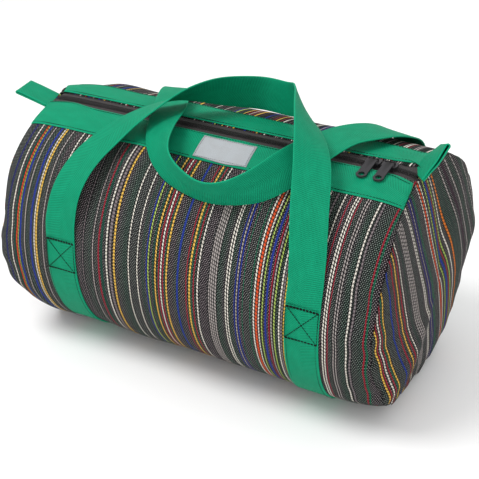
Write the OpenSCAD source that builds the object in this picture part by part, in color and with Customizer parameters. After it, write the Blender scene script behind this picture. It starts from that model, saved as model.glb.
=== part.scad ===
// Barrel rope bag: a soft drum with a zip along its top, two webbing carry handles that
// cross over it, a webbing loop on each end and two heavy zip pulls.
// X runs along the bag, the front faces -Y, Z is up and the bag rests on z = 0.

/* [Body] */
// Mean radius of the packed section
body_r = 141.6; // [120:0.2:170]
// Height of the section's middle above the floor
body_mid_z = 127; // [110:1:150]
// Left seam, measured from the middle between the two straps
left_seam_x = -235; // [-250:1:-200]
// Right seam, measured from the middle between the two straps
right_seam_x = 216; // [200:1:250]
// Wall thickness of the woven cloth
cloth_t = 1.0; // [0.6:0.1:2]
// How far each end panel bulges
end_bulge = 20; // [5:1:30]

/* [Zip] */
// Where the zip runs round the section, in degrees up from the front
zip_at = 80.7; // [75:0.1:90]
// Half of the slot that the facings leave over the zip
zip_slot = 9.5; // [9:0.1:12]
// Width of one tape
tape_w = 19.2; // [15:0.1:22]
// Width of one row of teeth
coil_w = 4.2; // [3:0.1:4.4]
// Lower edge of the front facing, in degrees up from the front
front_hem_at = 56.6; // [54:0.1:62]
// Lower edge of the back facing, in degrees up from the front
back_hem_at = 104.7; // [98:0.1:110]
// Places of the two sliders, measured from the middle between the straps
slider_x = [160, 178];

/* [Webbing] */
// Width of the webbing
web_w = 38; // [30:1:50]
// Thickness of the webbing
web_t = 1.5; // [1:0.1:2]
// Distance of each strap from the middle between them
strap_x = 146; // [120:1:150]
// Front end of the sewn straps, in degrees up from the front
front_end_at = 8; // [4:1:10]
// Back end of the sewn straps, in degrees up from the front
back_end_at = 153; // [150:1:156]
// Free length of the left end loop
left_loop_l = 36; // [25:1:50]
// Free length of the right end loop
right_loop_l = 27; // [20:1:50]

/* [Label] */
// Length of the sewn label
label_l = 64; // [40:1:80]
// Middle of the label, measured from the middle between the straps
label_x = 10; // [-40:1:40]

/* [Hidden] */

// the origin lies under the middle of the whole part, loops included
strap_mid_x = 22.3;

// section: radius against the angle up from the front, and the floor under the bag
section_wide = 0.070;
section_lean = -0.005;
section_square = -0.026;
fit_gap = 0.3;
base_h = fit_gap + web_t;
grid = 5;

web_color = "mediumseagreen";
cloth_color = "dimgray";
metal_color = [0.12, 0.11, 0.12];
thread_color = [0.05, 0.05, 0.05];

function radius_at(a) = body_r
    * (1 + section_wide * cos(2 * a) + section_lean * sin(3 * a) + section_square * cos(4 * a));
// [y, z] of the section's point at an angle, h outside the cloth
function section_at(a, h) = [
    -(radius_at(a) + h) * cos(a),
    max(body_mid_z + (radius_at(a) + h) * sin(a), base_h - h)
];
// outward direction of the section at an angle
function normal_at(a) = let (
    d = section_at(a + 0.5, 0) - section_at(a - 0.5, 0)
) [-d[1], d[0]] / norm(d);
// angle that a length along the cloth spans near an angle
function span_at(a, length) = length / radius_at(a) * 180 / PI;
// both ends and the whole grid lines between them, so that layers follow each other
function grid_angles(a, b) = concat(
    [a], [for (t = [ceil((a + 0.01) / grid) * grid : grid : b - 0.01]) t], [b]);

slot_angle = span_at(zip_at, zip_slot);
zip_yz = section_at(zip_at, 0);
zip_tilt = atan2(-normal_at(zip_at)[0], normal_at(zip_at)[1]);
tape_in = 0.8;
tape_h = [-2.1, -1.4];
coil_z = [-1.3, 1.2];
facing_h = [fit_gap, fit_gap + 1.0];

slider_l = 16;
slider_w = 13.6;
slider_plate = 2;
slider_top_z = 1.5;
slider_low_z = -4.7;
flange_w = 1.5;
flange_l = 12;
flange_drop = 2.6;
post = [4, 1.0];
bail_z = 6.2;
bail_r = 0.8;
bail_half = 5;
pull_ring_r = 1.7;
pull_wire_r = 0.6;
pull_w = 10;
pull_t = 1.6;
pull_l = 30;
pull_eye_r = 5.5;
pull_hole_r = 3.2;
pull_slope = 8;

loop_in = 0.5;
loop_root = 1.65;
loop_gap = 8;
// roots of the end loops, [x past the seam, y, z], and how steeply they rise
left_loop_root = [10.5, -21, 247.5];
right_loop_root = [2, -12, 258.5];
left_loop_rise = 15;
right_loop_rise = 55;

label_h = [facing_h[1] + 0.3, facing_h[1] + 0.8];
label_at = [front_hem_at + 0.9, front_hem_at + 15.6];
thread_w = 0.8;
thread_t = 0.3;
seam_in = 3;
box_l = 38;
front_box_at = [front_end_at - span_at(0, box_l), front_end_at];
back_box_at = [back_end_at, back_end_at + span_at(160, box_l)];
front_box_size = box_l - 2 * seam_in;
back_box_size = front_box_size - 4;
binding_w = 12;

handle_steps = 4;
// handle routes: [x, degrees up from the front, lift of the lower edge off the cloth, twist]
front_route = [
    [-146, 9.3, 1.5, 0], [-145, 18, 4, 0], [-139, 31, 8, 5], [-128, 46, 8, 8],
    [-111, 59, 10, 12], [-90, 71, 16, 20], [-64, 84, 18.5, 42], [-38, 100, 9, 72],
    [-5, 111, 5, 86], [30, 108, 7, 84], [60, 95, 18, 70], [88, 78, 26, 50],
    [111, 65, 26, 33], [126, 55, 21, 20], [135, 44, 13, 12], [143, 30, 6, 5],
    [146, 18, 3, 0], [146, 9.3, 1.5, 0]
];
back_route = [
    [-146, 151.7, 1.5, 0], [-145, 144, 4, 2], [-136, 130, 6, 4], [-120, 114, 8, 5],
    [-102, 98, 10, 5], [-82, 80, 11, 5], [-62, 61, 6, 26], [-33, 47, 2, 58],
    [10, 40.5, 1.5, 76], [46, 41, 1.5, 78], [78, 47, 3, 62], [99, 58, 8, 38],
    [109, 73, 11.5, 14], [121, 90, 12.5, 8], [138, 104, 10, 8], [149, 119, 6, 6],
    [150, 132, 5, 4], [147, 144, 3, 0], [146, 151.7, 1.5, 0]
];

// a strip of the section between two angles, two heights off the cloth and two places along X
module strip(a, h, x) {
    angles = grid_angles(a[0], a[1]);
    outline = concat(
        [for (t = angles) section_at(t, h[1])],
        [for (i = [len(angles) - 1 : -1 : 0]) section_at(angles[i], h[0])]
    );
    translate([x[0], 0, 0])
        rotate([90, 0, 90])
            linear_extrude(height = x[1] - x[0])
                polygon(outline);
}

// moves from the strap middle to the part's origin
module placed() {
    translate([strap_mid_x, 0, 0]) children();
}

// moves to a place on the zip line, with Z square to the cloth
module on_zip(x) {
    translate([x, zip_yz[0], zip_yz[1]]) rotate([zip_tilt, 0, 0]) children();
}

module body_panel() {
    color(cloth_color) placed()
        strip([zip_at + slot_angle - 360, zip_at - slot_angle], [-cloth_t, 0],
              [left_seam_x, right_seam_x]);
}

// domed end cloth; side is -1 on the left and 1 on the right
module end_panel(side) {
    rings = 6;
    points_round = 48;
    shrink = 1 - cloth_t / body_r;
    function ring(k, bulge, scale) = [
        for (j = [0 : points_round - 1])
            let (
                yz = section_at(j * 360 / points_round, 0),
                s = scale * cos(90 * k / rings)
            ) [side * bulge * sin(90 * k / rings), yz[0] * s, body_mid_z + (yz[1] - body_mid_z) * s]
    ];
    function skin(bulge, scale) = concat(
        [for (k = [0 : rings - 1]) each ring(k, bulge, scale)],
        [[side * bulge, 0, body_mid_z]]
    );
    function wound(face, flip) = flip ? [for (i = [len(face) - 1 : -1 : 0]) face[i]] : face;
    function skin_faces(first, flip) = concat(
        [
            for (k = [0 : rings - 2]) for (j = [0 : points_round - 1])
                let (n = (j + 1) % points_round, a = first + k * points_round)
                wound([a + j, a + n, a + points_round + n, a + points_round + j], flip)
        ],
        [
            for (j = [0 : points_round - 1])
                let (n = (j + 1) % points_round, a = first + (rings - 1) * points_round)
                wound([a + j, a + n, first + rings * points_round], flip)
        ]
    );
    inner = rings * points_round + 1;
    rim = [
        for (j = [0 : points_round - 1])
            let (n = (j + 1) % points_round) wound([j, inner + j, inner + n, n], side < 0)
    ];
    color(cloth_color) placed()
        translate([side < 0 ? left_seam_x - fit_gap : right_seam_x + fit_gap, 0, 0])
            polyhedron(
                points = concat(skin(end_bulge, 1), skin(end_bulge - cloth_t, shrink)),
                faces = concat(skin_faces(0, side < 0), skin_faces(inner, side > 0), rim),
                convexity = 4
            );
}

module left_end_panel() {
    end_panel(-1);
}

module right_end_panel() {
    end_panel(1);
}

module front_zip_facing() {
    color(web_color) placed()
        strip([front_hem_at, zip_at - slot_angle], facing_h, [left_seam_x, right_seam_x]);
}

module back_zip_facing() {
    color(web_color) placed()
        strip([zip_at + slot_angle, back_hem_at], facing_h, [left_seam_x, right_seam_x]);
}

// side is -1 for the front tape and 1 for the back one
module zip_tape(side) {
    near = zip_at + side * span_at(zip_at, tape_in);
    far = zip_at + side * span_at(zip_at, tape_in + tape_w);
    color([0.13, 0.10, 0.10]) placed()
        strip([min(near, far), max(near, far)], tape_h, [left_seam_x, right_seam_x]);
}

module front_zip_tape() {
    zip_tape(-1);
}

module back_zip_tape() {
    zip_tape(1);
}

module zip_coil(side) {
    color([0.10, 0.09, 0.09]) placed()
        on_zip(left_seam_x)
            translate([0, side > 0 ? tape_in : -tape_in - coil_w, coil_z[0]])
                cube([right_seam_x - left_seam_x, coil_w, coil_z[1] - coil_z[0]]);
}

module front_zip_coil() {
    zip_coil(-1);
}

module back_zip_coil() {
    zip_coil(1);
}

module rounded_plate(length, width, r, thickness) {
    linear_extrude(height = thickness) {
        square([length - 2 * r, width], center = true);
        square([length, width - 2 * r], center = true);
        for (sx = [-1, 1], sy = [-1, 1])
            translate([sx * (length / 2 - r), sy * (width / 2 - r)]) circle(r, $fn = 32);
    }
}

module slider_body(x) {
    color(metal_color) placed()
        on_zip(x) {
            translate([0, 0, slider_top_z]) rounded_plate(slider_l, slider_w, 4, slider_plate);
            translate([0, 0, slider_low_z]) rounded_plate(slider_l, slider_w, 4, slider_plate);
            translate([-post[0] / 2, -post[1] / 2, slider_low_z])
                cube([post[0], post[1], slider_top_z - slider_low_z + slider_plate / 2]);
            for (side = [-1, 1])
                translate([-flange_l / 2, side * (slider_w - flange_w) / 2 - flange_w / 2,
                           slider_top_z - flange_drop])
                    cube([flange_l, flange_w, flange_drop + slider_plate / 2]);
        }
}

module slider_bail(x) {
    color(metal_color) placed()
        on_zip(x) {
            translate([-bail_half, 0, bail_z]) rotate([0, 90, 0])
                cylinder(h = 2 * bail_half, r = bail_r, $fn = 32);
            for (side = [-1, 1])
                translate([side * bail_half, 0, slider_top_z + slider_plate])
                    cylinder(h = bail_z + bail_r - slider_top_z - slider_plate, r = bail_r, $fn = 32);
        }
}

module pull(x) {
    color(metal_color) placed()
        on_zip(x)
            translate([0, 0, bail_z])
                rotate([pull_slope, 0, 0]) {
                    rotate([0, 90, 0])
                        rotate_extrude($fn = 48)
                            translate([pull_ring_r, 0]) circle(pull_wire_r, $fn = 24);
                    translate([0, 0, -pull_t / 2]) linear_extrude(height = pull_t)
                        difference() {
                            union() {
                                translate([-1.5, -3.4]) square([3, 1.8]);
                                translate([-pull_w / 2, -pull_l]) square([pull_w, pull_l - 3]);
                                translate([0, -pull_l]) circle(pull_eye_r, $fn = 48);
                            }
                            translate([0, -pull_l]) circle(pull_hole_r, $fn = 48);
                        }
                }
}

module left_slider_body() {
    slider_body(slider_x[0]);
}

module left_slider_bail() {
    slider_bail(slider_x[0]);
}

module left_pull() {
    pull(slider_x[0]);
}

module right_slider_body() {
    slider_body(slider_x[1]);
}

module right_slider_bail() {
    slider_bail(slider_x[1]);
}

module right_pull() {
    pull(slider_x[1]);
}

// webbing sewn from the front, under the bag, to the back
module strap(side) {
    color(web_color) placed()
        strip([back_end_at - 360, front_end_at], [fit_gap, base_h],
              [side * strap_x - web_w / 2, side * strap_x + web_w / 2]);
}

module left_strap() {
    strap(-1);
}

module right_strap() {
    strap(1);
}

// curve through four rows
function blend_rows(a, b, c, d, t) = 0.5 * (
    2 * b + (c - a) * t + (2 * a - 5 * b + 4 * c - d) * t * t + (3 * b - a - 3 * c + d) * t * t * t);
function smooth_route(route) = let (
    last = len(route) - 1,
    rows = concat([2 * route[0] - route[1]], route, [2 * route[last] - route[last - 1]])
) concat(
    [
        for (i = [1 : last]) for (k = [0 : handle_steps - 1])
            blend_rows(rows[i - 1], rows[i], rows[i + 1], rows[i + 2], k / handle_steps)
    ],
    [route[last]]
);
function unit(v) = v / norm(v);
function outward(a) = let (n = normal_at(a)) [0, n[0], n[1]];
function web_middle(row) = let (yz = section_at(row[1], 0))
    [row[0], yz[0], yz[1]] + outward(row[1]) * (row[2] + web_w / 2 * abs(sin(row[3])));

// webbing that follows a route; side is the way its inner edge faces
module handle(route, side) {
    rows = smooth_route(route);
    last = len(rows) - 1;
    middles = [for (r = rows) web_middle(r)];
    function along(i) = unit(middles[min(i + 1, last)] - middles[max(i - 1, 0)]);
    function across(i) = let (
        n = outward(rows[i][1]),
        inward = unit(cross(along(i), n)) * side,
        w = cos(rows[i][3]) * inward + sin(rows[i][3]) * n
    ) unit(w - (w * along(i)) * along(i));
    function corners(i) = let (
        w = across(i) * web_w / 2,
        t = unit(cross(along(i), w)) * web_t / 2
    ) [middles[i] + w + t, middles[i] + w - t, middles[i] - w - t, middles[i] - w + t];
    sides = [
        for (i = [0 : last - 1]) for (j = [0 : 3])
            let (a = 4 * i + j, b = 4 * i + (j + 1) % 4) each [[a, b, a + 4], [b, b + 4, a + 4]]
    ];
    color(web_color) placed()
        polyhedron(
            points = [for (i = [0 : last]) each corners(i)],
            faces = concat(
                [[3, 2, 1, 0]], sides, [[4 * last, 4 * last + 1, 4 * last + 2, 4 * last + 3]]),
            convexity = 10
        );
}

module front_handle() {
    handle(front_route, 1);
}

module back_handle() {
    handle(back_route, -1);
}

// folded webbing: two layers that part towards the round fold
module loop_outline(length, inset) {
    r = loop_gap / 2 + web_t - inset;
    tip = length - loop_gap / 2 - web_t;
    root = loop_root - inset;
    lean = atan2(r - root, tip);
    start = inset > 0 ? 2.5 * web_t : 0;
    polygon(concat(
        [[loop_in + start, -root]],
        [for (a = [-90 - lean : 10 : 90 + lean]) [loop_in + tip + r * cos(a), r * sin(a)]],
        [[loop_in + start, root]]
    ));
}

module end_loop(side, root, length, rise) {
    seam_x = side < 0 ? left_seam_x : right_seam_x;
    color(web_color) placed()
        translate([seam_x + side * root[0], root[1], root[2]])
            rotate([0, -side * rise, 0])
                mirror([side < 0 ? 1 : 0, 0, 0])
                    rotate([90, 0, 0])
                        linear_extrude(height = web_w, center = true)
                            difference() {
                                loop_outline(length, 0);
                                loop_outline(length, web_t);
                            }
}

module left_end_loop() {
    end_loop(-1, left_loop_root, left_loop_l, left_loop_rise);
}

module right_end_loop() {
    end_loop(1, right_loop_root, right_loop_l, right_loop_rise);
}

module label() {
    color([0.93, 0.92, 0.88]) placed()
        strip(label_at, label_h, [label_x - label_l / 2, label_x + label_l / 2]);
}

// one line of thread round the label's edge
module label_stitching() {
    h = [label_h[1], label_h[1] + thread_t];
    near = span_at(label_at[0], 1.6);
    wide = span_at(label_at[0], thread_w);
    x = [label_x - label_l / 2 + 1.6, label_x + label_l / 2 - 1.6];
    a = [label_at[0] + near, label_at[1] - near];
    color(thread_color) placed() {
        strip([a[0], a[0] + wide], h, x);
        strip([a[1] - wide, a[1]], h, x);
        strip(a, h, [x[0], x[0] + thread_w]);
        strip(a, h, [x[1] - thread_w, x[1]]);
    }
}

// tape that covers the raw edges of a seam, inside the bag
module seam_binding(x) {
    past_tape = span_at(zip_at, tape_in + tape_w + 2);
    color([0.1, 0.1, 0.1]) placed()
        strip([zip_at + past_tape - 360, zip_at - past_tape], [-cloth_t - 1.2, -cloth_t - 0.3], x);
}

module left_seam_binding() {
    seam_binding([left_seam_x, left_seam_x + binding_w]);
}

module right_seam_binding() {
    seam_binding([right_seam_x - binding_w, right_seam_x]);
}

// a square with its diagonals, as a flat line drawing
module cross_box(size) {
    difference() {
        square(size, center = true);
        square(size - 2 * thread_w, center = true);
    }
    for (turn = [-45, 45])
        rotate(turn) square([size * sqrt(2) - 2 * thread_w, thread_w], center = true);
}

// crossed box of thread where a strap ends, from the strap's end at angle a[0] or a[1]
module box_stitching(side, a, size) {
    middle = section_at((a[0] + a[1]) / 2, base_h);
    color(thread_color) placed()
        intersection() {
            strip(a, [base_h, base_h + thread_t],
                  [side * strap_x - web_w / 2, side * strap_x + web_w / 2]);
            translate([side * strap_x, middle[0], middle[1]])
                rotate([90, 0, 0])
                    linear_extrude(height = body_r / 2, center = true) cross_box(size);
        }
}

module front_left_box_stitching() {
    box_stitching(-1, front_box_at, front_box_size);
}

module front_right_box_stitching() {
    box_stitching(1, front_box_at, front_box_size);
}

module back_left_box_stitching() {
    box_stitching(-1, back_box_at, back_box_size);
}

module back_right_box_stitching() {
    box_stitching(1, back_box_at, back_box_size);
}

// two lines of thread along a facing, one beside each edge
module facing_stitching(a) {
    h = [facing_h[1], facing_h[1] + thread_t];
    near = span_at(zip_at, seam_in);
    wide = span_at(zip_at, thread_w);
    color(thread_color) placed() {
        strip([a[0] + near, a[0] + near + wide], h, [left_seam_x, right_seam_x]);
        strip([a[1] - near - wide, a[1] - near], h, [left_seam_x, right_seam_x]);
    }
}

// the front hem's line would cross under the label, so the label is cut out of it
module front_facing_stitching() {
    gap = 1;
    difference() {
        facing_stitching([front_hem_at, zip_at - slot_angle]);
        placed()
            translate([label_x - label_l / 2 - gap, -body_r, body_mid_z])
                cube([label_l + 2 * gap, body_r - abs(zip_yz[0]) - 2 * zip_slot, body_r]);
    }
}

module back_facing_stitching() {
    facing_stitching([zip_at + slot_angle, back_hem_at]);
}

// thread beside both edges of a strap, on the parts that stand clear of the floor
module strap_stitching(side) {
    h = [base_h, base_h + thread_t];
    color(thread_color) placed()
        for (edge = [-1, 1], a = [[-65, front_box_at[0]], [back_box_at[1] - 360, -115]])
            let (x = side * strap_x + edge * (web_w / 2 - seam_in))
            strip(a, h, [x - thread_w / 2, x + thread_w / 2]);
}

module left_strap_stitching() {
    strap_stitching(-1);
}

module right_strap_stitching() {
    strap_stitching(1);
}

body_panel();
left_end_panel();
right_end_panel();
front_zip_facing();
back_zip_facing();
front_zip_tape();
back_zip_tape();
front_zip_coil();
back_zip_coil();
left_slider_body();
left_slider_bail();
left_pull();
right_slider_body();
right_slider_bail();
right_pull();
left_strap();
right_strap();
front_handle();
back_handle();
left_end_loop();
right_end_loop();
label();
label_stitching();
left_seam_binding();
right_seam_binding();
front_left_box_stitching();
front_right_box_stitching();
back_left_box_stitching();
back_right_box_stitching();
front_facing_stitching();
back_facing_stitching();
left_strap_stitching();
right_strap_stitching();
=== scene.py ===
"""Barrel rope bag: striped woven cloth, green webbing, a zip with two sliders, and soft studio light."""
import math

import bpy
import numpy as np
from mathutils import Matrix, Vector


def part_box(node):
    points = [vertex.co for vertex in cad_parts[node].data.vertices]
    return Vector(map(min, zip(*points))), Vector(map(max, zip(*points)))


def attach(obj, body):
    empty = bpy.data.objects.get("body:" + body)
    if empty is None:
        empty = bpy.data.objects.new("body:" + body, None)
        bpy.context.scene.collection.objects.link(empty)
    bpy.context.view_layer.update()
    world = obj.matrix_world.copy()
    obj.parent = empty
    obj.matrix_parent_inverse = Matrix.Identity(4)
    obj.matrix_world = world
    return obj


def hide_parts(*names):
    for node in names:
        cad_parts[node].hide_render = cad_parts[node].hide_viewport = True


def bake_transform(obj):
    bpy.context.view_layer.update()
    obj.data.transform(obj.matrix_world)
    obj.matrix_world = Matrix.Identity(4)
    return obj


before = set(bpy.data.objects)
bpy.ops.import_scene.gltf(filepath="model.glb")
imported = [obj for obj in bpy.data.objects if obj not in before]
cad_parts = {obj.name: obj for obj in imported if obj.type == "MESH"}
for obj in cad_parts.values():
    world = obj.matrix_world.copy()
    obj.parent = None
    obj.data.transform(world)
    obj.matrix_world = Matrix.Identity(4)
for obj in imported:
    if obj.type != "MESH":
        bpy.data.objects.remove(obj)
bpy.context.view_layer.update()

MM = 0.001

# ---------------------------------------------------------------- sizes, from the frame and part.scad
BODY_R = 141.6 * MM
BODY_MID_Z = 127 * MM
SECTION_WIDE, SECTION_LEAN, SECTION_SQUARE = 0.070, -0.005, -0.026
ZIP_AT, FRONT_HEM_AT, BACK_HEM_AT = 80.7, 56.6, 104.7
FRONT_END_AT, BACK_END_AT = 8.0, 153.0
BOX_L = 38 * MM
ZIP_SLOT = 13 * MM        # half width that the bag shows; the CAD facings stop at 9.5 mm
CLOTH_T = 1.0 * MM
WEB_T = 1.5 * MM
WEB_H = 1.05 * MM            # height of the webbing's middle above the cloth
FACING_LOW, FACING_TOP = 0.3 * MM, 1.5 * MM

strap_low, strap_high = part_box("left_strap")
WEB_W = strap_high.x - strap_low.x
STRAP_MID_X = (strap_low.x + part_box("right_strap")[1].x) / 2
STRAP_X = STRAP_MID_X - (strap_low.x + strap_high.x) / 2
LEFT_SEAM_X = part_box("body_panel")[0].x - STRAP_MID_X
RIGHT_SEAM_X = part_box("body_panel")[1].x - STRAP_MID_X
LABEL_X0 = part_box("label")[0].x - STRAP_MID_X
LABEL_X1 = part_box("label")[1].x - STRAP_MID_X

# the handles' routes, as in part.scad: x in mm, degrees up from the front, lift in mm, twist in degrees
FRONT_ROUTE = [
    (-146, 9.3, 1.5, 0), (-145, 18, 4, 0), (-139, 31, 8, 5), (-128, 46, 8, 8),
    (-111, 59, 10, 12), (-90, 71, 16, 20), (-64, 84, 18.5, 42), (-38, 100, 9, 72),
    (-5, 111, 5, 86), (30, 108, 7, 84), (60, 95, 18, 70), (88, 78, 26, 50),
    (111, 65, 26, 33), (126, 55, 21, 20), (135, 44, 13, 12), (143, 30, 6, 5),
    (146, 18, 3, 0), (146, 9.3, 1.5, 0),
]
BACK_ROUTE = [
    (-146, 151.7, 1.5, 0), (-145, 144, 4, 2), (-136, 130, 6, 4), (-120, 114, 8, 5),
    (-102, 98, 10, 5), (-82, 80, 11, 5), (-62, 61, 6, 26), (-33, 47, 2, 58),
    (10, 40.5, 1.5, 76), (46, 41, 1.5, 78), (78, 47, 3, 62), (99, 58, 8, 38),
    (109, 73, 11.5, 14), (121, 90, 12.5, 8), (138, 104, 10, 8), (149, 119, 6, 6),
    (150, 132, 5, 4), (147, 144, 3, 0), (146, 151.7, 1.5, 0),
]


# ---------------------------------------------------------------- the bag's surface
def smooth(t):
    t = np.clip(t, 0, 1)
    return t * t * (3 - 2 * t)


def radius_at(angle):
    a = np.radians(angle)
    return BODY_R * (1 + SECTION_WIDE * np.cos(2 * a) + SECTION_LEAN * np.sin(3 * a)
                     + SECTION_SQUARE * np.cos(4 * a))


def hill(value, middle, width):
    return np.exp(-((value - middle) / width) ** 2)


def left_seam_shift(angle):
    """How far each point of the left seam stands out past its mean place."""
    return (15 * hill(angle, 97, 13) - 5 * hill(angle, 14, 13) + 3 * hill(angle, -12, 10)
            - 16 * hill(angle, -42, 16)) * MM


def right_seam_shift(angle):
    return (4.5 * hill(angle, 28, 30) + 11 * hill(angle, -38, 17) - 3 * hill(angle, 62, 18)
            - 12 * hill(angle, 100, 20)) * MM


def at_seams(x, angle):
    """Moves places near the two seams along X, so that the ends follow the seams' own lines."""
    angle = (angle + 100) % 360 - 100
    left = smooth((LEFT_SEAM_X + 70 * MM - x) / (70 * MM))
    right = smooth((x - RIGHT_SEAM_X + 70 * MM) / (70 * MM))
    return x - left_seam_shift(angle) * left + right_seam_shift(angle) * right


def shoulder(x, angle):
    """How much the section shrinks as it rounds over to the end seams, least beside the zip."""
    from_left = np.maximum(x - LEFT_SEAM_X + left_seam_shift(angle), 0)
    from_right = np.maximum(RIGHT_SEAM_X + right_seam_shift(angle) - x, 0)
    near = np.minimum(from_left, from_right)
    drawn = 0.05 * (1 - 0.7 * hill(angle, 87, 24)) * np.exp(-near / (11 * MM))
    rise = 6.5 * MM * smooth((x - 190 * MM) / (20 * MM)) * hill(angle, 100, 20)
    fall = 6 * MM * smooth((LEFT_SEAM_X + 40 * MM - x) / (50 * MM)) * hill(angle, 114, 13)
    return 1 - drawn + (rise - fall) / BODY_R


def from_zip(angle):
    """Degrees from the zip line, the short way round."""
    return np.abs((angle - ZIP_AT + 180) % 360 - 180)


def sag(x, angle):
    """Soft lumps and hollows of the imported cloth, none along the zip."""
    a = np.radians(angle)
    lumps = (1.5 * np.sin(x / MM / 47 + 1.3 * np.sin(a)) * np.cos(2 * a + 0.7)
             + 1.1 * np.sin(x / MM / 31 - 2.2 * a + 1.1)
             + 0.8 * np.cos(x / MM / 19 + 3.1 * a))
    belts = -1.6 * sum(hill(x, s * STRAP_X, 26 * MM) for s in (-1, 1))
    beside_strap = -6.5 * hill(x, -113 * MM, 15 * MM) * hill(angle, 37, 21)
    dimple = -4.5 * hill(x, 199 * MM, 10 * MM) * hill(angle, 12, 9)
    crease = -2.4 * hill(x / MM + 0.9 * (angle - 30), 196, 5) * hill(angle, 30, 20)
    free = smooth((from_zip(angle) - 8) / 34)
    return (lumps + belts + beside_strap + dimple + crease) * free * MM


def pleats(x, angle):
    """Folds that the end seams gather into the cloth."""
    a = np.radians(angle)
    low = smooth((from_zip(angle) - 45) / 40)
    right = np.exp(-(RIGHT_SEAM_X - x) / (26 * MM)) * (
        1.8 * np.sin(19 * a + 0.8) + 1.2 * np.sin(31 * a + 2.0))
    left = np.exp(-(x - LEFT_SEAM_X) / (24 * MM)) * (
        1.3 * np.sin(17 * a + 2.1) + 0.8 * np.sin(29 * a))
    return (right + left) * low * MM


def surface(x, angle, h, folds=False):
    """Points of the bag: x from the strap middle, angle in degrees up from the front, h off the cloth."""
    x, angle, h = np.broadcast_arrays(np.asarray(x, float), np.asarray(angle, float), np.asarray(h, float))
    r = radius_at(angle) * shoulder(x, (angle + 100) % 360 - 100) + sag(x, angle) + h
    if folds:
        r = r + pleats(x, angle)
    a = np.radians(angle)
    z = BODY_MID_Z + r * np.sin(a)
    under_strap = sum(smooth((30 * MM - np.abs(x - s * STRAP_X)) / (10 * MM)) for s in (-1, 1))
    floor = 0.3 * MM + under_strap * 1.5 * MM - np.clip(h, 0, 1.8 * MM) * np.minimum(under_strap, 1)
    soft = 2.5 * MM
    z = floor + soft * np.logaddexp(0, (z - floor) / soft)
    return np.stack([x + STRAP_MID_X, -r * np.cos(a), z], -1)


def outward(x, angle):
    d = surface(x, angle + 0.5, 0) - surface(x, angle - 0.5, 0)
    n = np.stack([np.zeros_like(d[..., 0]), -d[..., 2], d[..., 1]], -1)
    return n / np.linalg.norm(n, axis=-1, keepdims=True)


def span_at(angle, length):
    """Degrees that a length along the cloth spans near an angle."""
    return math.degrees(length / float(radius_at(angle)))


ARC_ANGLES = np.arange(-220.0, 220.5, 0.5)
ARC_POINTS = np.stack([-radius_at(ARC_ANGLES) * np.cos(np.radians(ARC_ANGLES)),
                       radius_at(ARC_ANGLES) * np.sin(np.radians(ARC_ANGLES))], -1)
ARC_LENGTHS = np.concatenate([[0], np.cumsum(np.linalg.norm(np.diff(ARC_POINTS, axis=0), axis=1))])


def arc_at(angle):
    """Length along the section, for the cloth's own coordinates."""
    return np.interp(angle, ARC_ANGLES, ARC_LENGTHS)


# ---------------------------------------------------------------- mesh helpers
def make_object(name, points, faces, uvs=None, smooth_faces=True):
    """A mesh piece; uvs has one pair for each vertex, in metres."""
    mesh = bpy.data.meshes.new(name)
    mesh.from_pydata([tuple(p) for p in points], [], [tuple(f) for f in faces])
    mesh.validate()
    mesh.update()
    if uvs is not None:
        layer = mesh.uv_layers.new(name="flat")
        index = np.zeros(len(mesh.loops), np.int32)
        mesh.loops.foreach_get("vertex_index", index)
        layer.data.foreach_set("uv", np.asarray(uvs, np.float32)[index].ravel())
    if smooth_faces:
        mesh.polygons.foreach_set("use_smooth", [True] * len(mesh.polygons))
    piece = bpy.data.objects.new(name, mesh)
    bpy.context.scene.collection.objects.link(piece)
    return piece


def grid_faces(rows, columns, first=0, closed_rows=False, closed_columns=False, flip=False):
    i, j = np.meshgrid(np.arange(rows if closed_rows else rows - 1),
                       np.arange(columns if closed_columns else columns - 1), indexing="ij")
    i2, j2 = (i + 1) % rows, (j + 1) % columns
    quads = np.stack([i * columns + j, i2 * columns + j, i2 * columns + j2, i * columns + j2], -1)
    quads = quads.reshape(-1, 4) + first
    return (quads[:, ::-1] if flip else quads).tolist()


def slab(name, place, us, vs, low, top, edge=0.5 * MM, uv=None):
    """A closed sheet with softened edges. place(u, v, h) gives points; low and top are heights."""
    us, vs = np.asarray(us, float), np.asarray(vs, float)
    u, v = np.meshgrid(us, vs, indexing="ij")
    uv_u, uv_v = (u, v) if uv is None else uv(u, v)
    rim = np.ones_like(u)
    rim[0, :] = rim[-1, :] = rim[:, 0] = rim[:, -1] = 0
    drop = min(edge, (top - low) * 0.4)
    upper = place(u, v, top - drop * (1 - rim)).reshape(-1, 3)
    lower = place(u, v, low + drop * (1 - rim) * 0.5).reshape(-1, 3)
    rows, columns = u.shape
    n = rows * columns
    faces = grid_faces(rows, columns) + grid_faces(rows, columns, n, flip=True)
    loop = ([i * columns for i in range(rows)] + [(rows - 1) * columns + j for j in range(1, columns)]
            + [i * columns + columns - 1 for i in range(rows - 2, -1, -1)]
            + [j for j in range(columns - 2, 0, -1)])
    for k, a in enumerate(loop):
        b = loop[(k + 1) % len(loop)]
        faces.append((b, a, a + n, b + n))
    flat = np.stack([uv_u.ravel(), uv_v.ravel()], -1)
    piece = make_object(name, np.vstack([upper, lower]), faces, np.vstack([flat, flat]))
    face_out(piece)
    return piece


def face_out(piece):
    """Turns every face of a closed mesh outwards."""
    import bmesh
    work = bmesh.new()
    work.from_mesh(piece.data)
    bmesh.ops.recalc_face_normals(work, faces=work.faces)
    work.to_mesh(piece.data)
    work.free()
    piece.data.update()


WEB_PROFILE_SIDE = 5


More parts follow.
